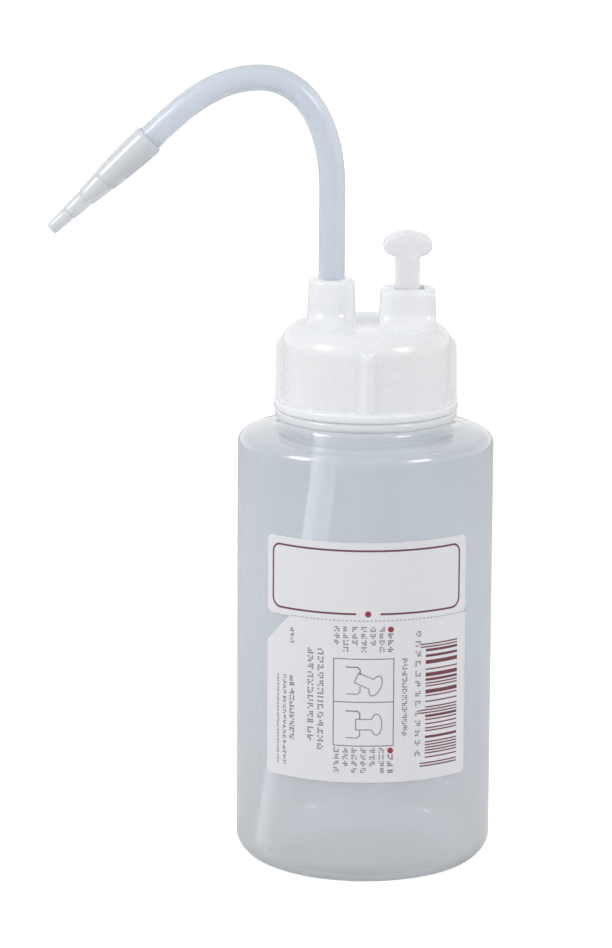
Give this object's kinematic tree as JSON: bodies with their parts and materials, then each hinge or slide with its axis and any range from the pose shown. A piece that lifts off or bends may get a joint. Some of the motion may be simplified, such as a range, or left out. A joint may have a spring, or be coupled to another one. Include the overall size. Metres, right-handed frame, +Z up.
{
  "type": "wash bottle",
  "caption": "Squeeze wash bottle for the laboratory: translucent round bottle, screw cap with a bent spout and dip tube, a push-on jet tip, and a vent cock that tilts shut.",
  "frame": {"origin": "on the bottle's axis, in the plane the bottle stands on", "axes": "+Z up along the bottle's axis; the spout points to -X; the labels face -Y"},
  "size_m": [0.1078, 0.0622, 0.1958],
  "materials": {
    "bottle_plastic": "translucent natural polyethylene, satin",
    "cap_plastic": "natural white polypropylene, satin",
    "seal_foam": "closed-cell foam, matte",
    "tube_plastic": "translucent polyethylene tube, smooth",
    "tip_plastic": "translucent polyethylene, moulded",
    "cock_plastic": "natural white polypropylene, satin",
    "label_film": "matte printed film"
  },
  "bodies": {
    "bottle_body": {"bottle": "bottle_plastic", "name_label": "label_film", "instruction_label": "label_film"},
    "seal": {"cap_gasket": "seal_foam"},
    "cap": {"screw_cap": "cap_plastic"},
    "spout": {"spout_tube": "tube_plastic"},
    "tip": {"jet_tip": "tip_plastic"},
    "cock": {"vent_cock": "cock_plastic"}
  },
  "joints": [
    {"name": "cap_rise", "type": "slide", "parent": "bottle_body", "child": "seal", "axis": [0, 0, 1], "range_m": [0, 0.006]},
    {"name": "cap_turn", "type": "hinge", "parent": "seal", "child": "cap", "pos_m": [0, 0, 0.12], "axis": [0, 0, 1], "range_deg": [0, 540]},
    {"name": "spout_swivel", "type": "hinge", "parent": "cap", "child": "spout", "pos_m": [-0.0085, 0, 0.137], "axis": [0, 0, 1], "continuous": true},
    {"name": "tip_pull", "type": "slide", "parent": "spout", "child": "tip", "axis": [-0.7314, 0, -0.682], "range_m": [0, 0.011]},
    {"name": "cock_tilt", "type": "hinge", "parent": "cap", "child": "cock", "pos_m": [0.00975, 0, 0.1401], "axis": [0, 1, 0], "range_deg": [0, 22]}
  ],
  "couplings": [
    {"joint": "cap_rise", "follows": "cap_turn", "m_per_rad": 0.0006366}
  ]
}
